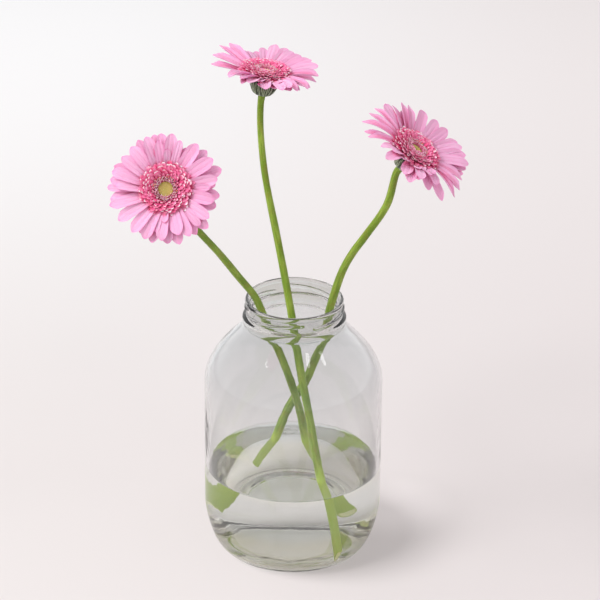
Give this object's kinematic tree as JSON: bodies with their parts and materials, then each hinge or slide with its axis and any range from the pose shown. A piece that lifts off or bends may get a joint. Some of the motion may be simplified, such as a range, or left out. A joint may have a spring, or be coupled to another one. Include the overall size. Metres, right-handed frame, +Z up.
{
  "type": "gerberas in a vase",
  "caption": "Cut gerberas with pale pink petals standing in a clear, round, wide-mouthed glass jar with a screw neck, about a third full of water.",
  "frame": {"origin": "on the jar's axis, on the surface that the jar stands on", "axes": "+Z up along the jar's axis; the bloom that looks forward faces -Y; +X to the right of who looks at it"},
  "size_m": [0.2217, 0.2208, 0.3283],
  "materials": {
    "jar": "clear pressed glass",
    "water": "clear water, faintly tinted",
    "stem": "downy green",
    "involucre": "grey-green bracts",
    "rays": "pale pink petal",
    "inner_florets": "deeper pink tongues",
    "eye": "yellow-green closed florets"
  },
  "bodies": {
    "root": {"jar": "jar", "water": "water", "left_stem": "stem", "middle_stem": "stem", "right_stem": "stem", "left_involucre": "involucre", "left_rays": "rays", "left_inner_florets": "inner_florets", "left_eye": "eye", "middle_involucre": "involucre", "middle_rays": "rays", "middle_inner_florets": "inner_florets", "middle_eye": "eye", "right_involucre": "involucre", "right_rays": "rays", "right_inner_florets": "inner_florets", "right_eye": "eye"}
  },
  "joints": []
}
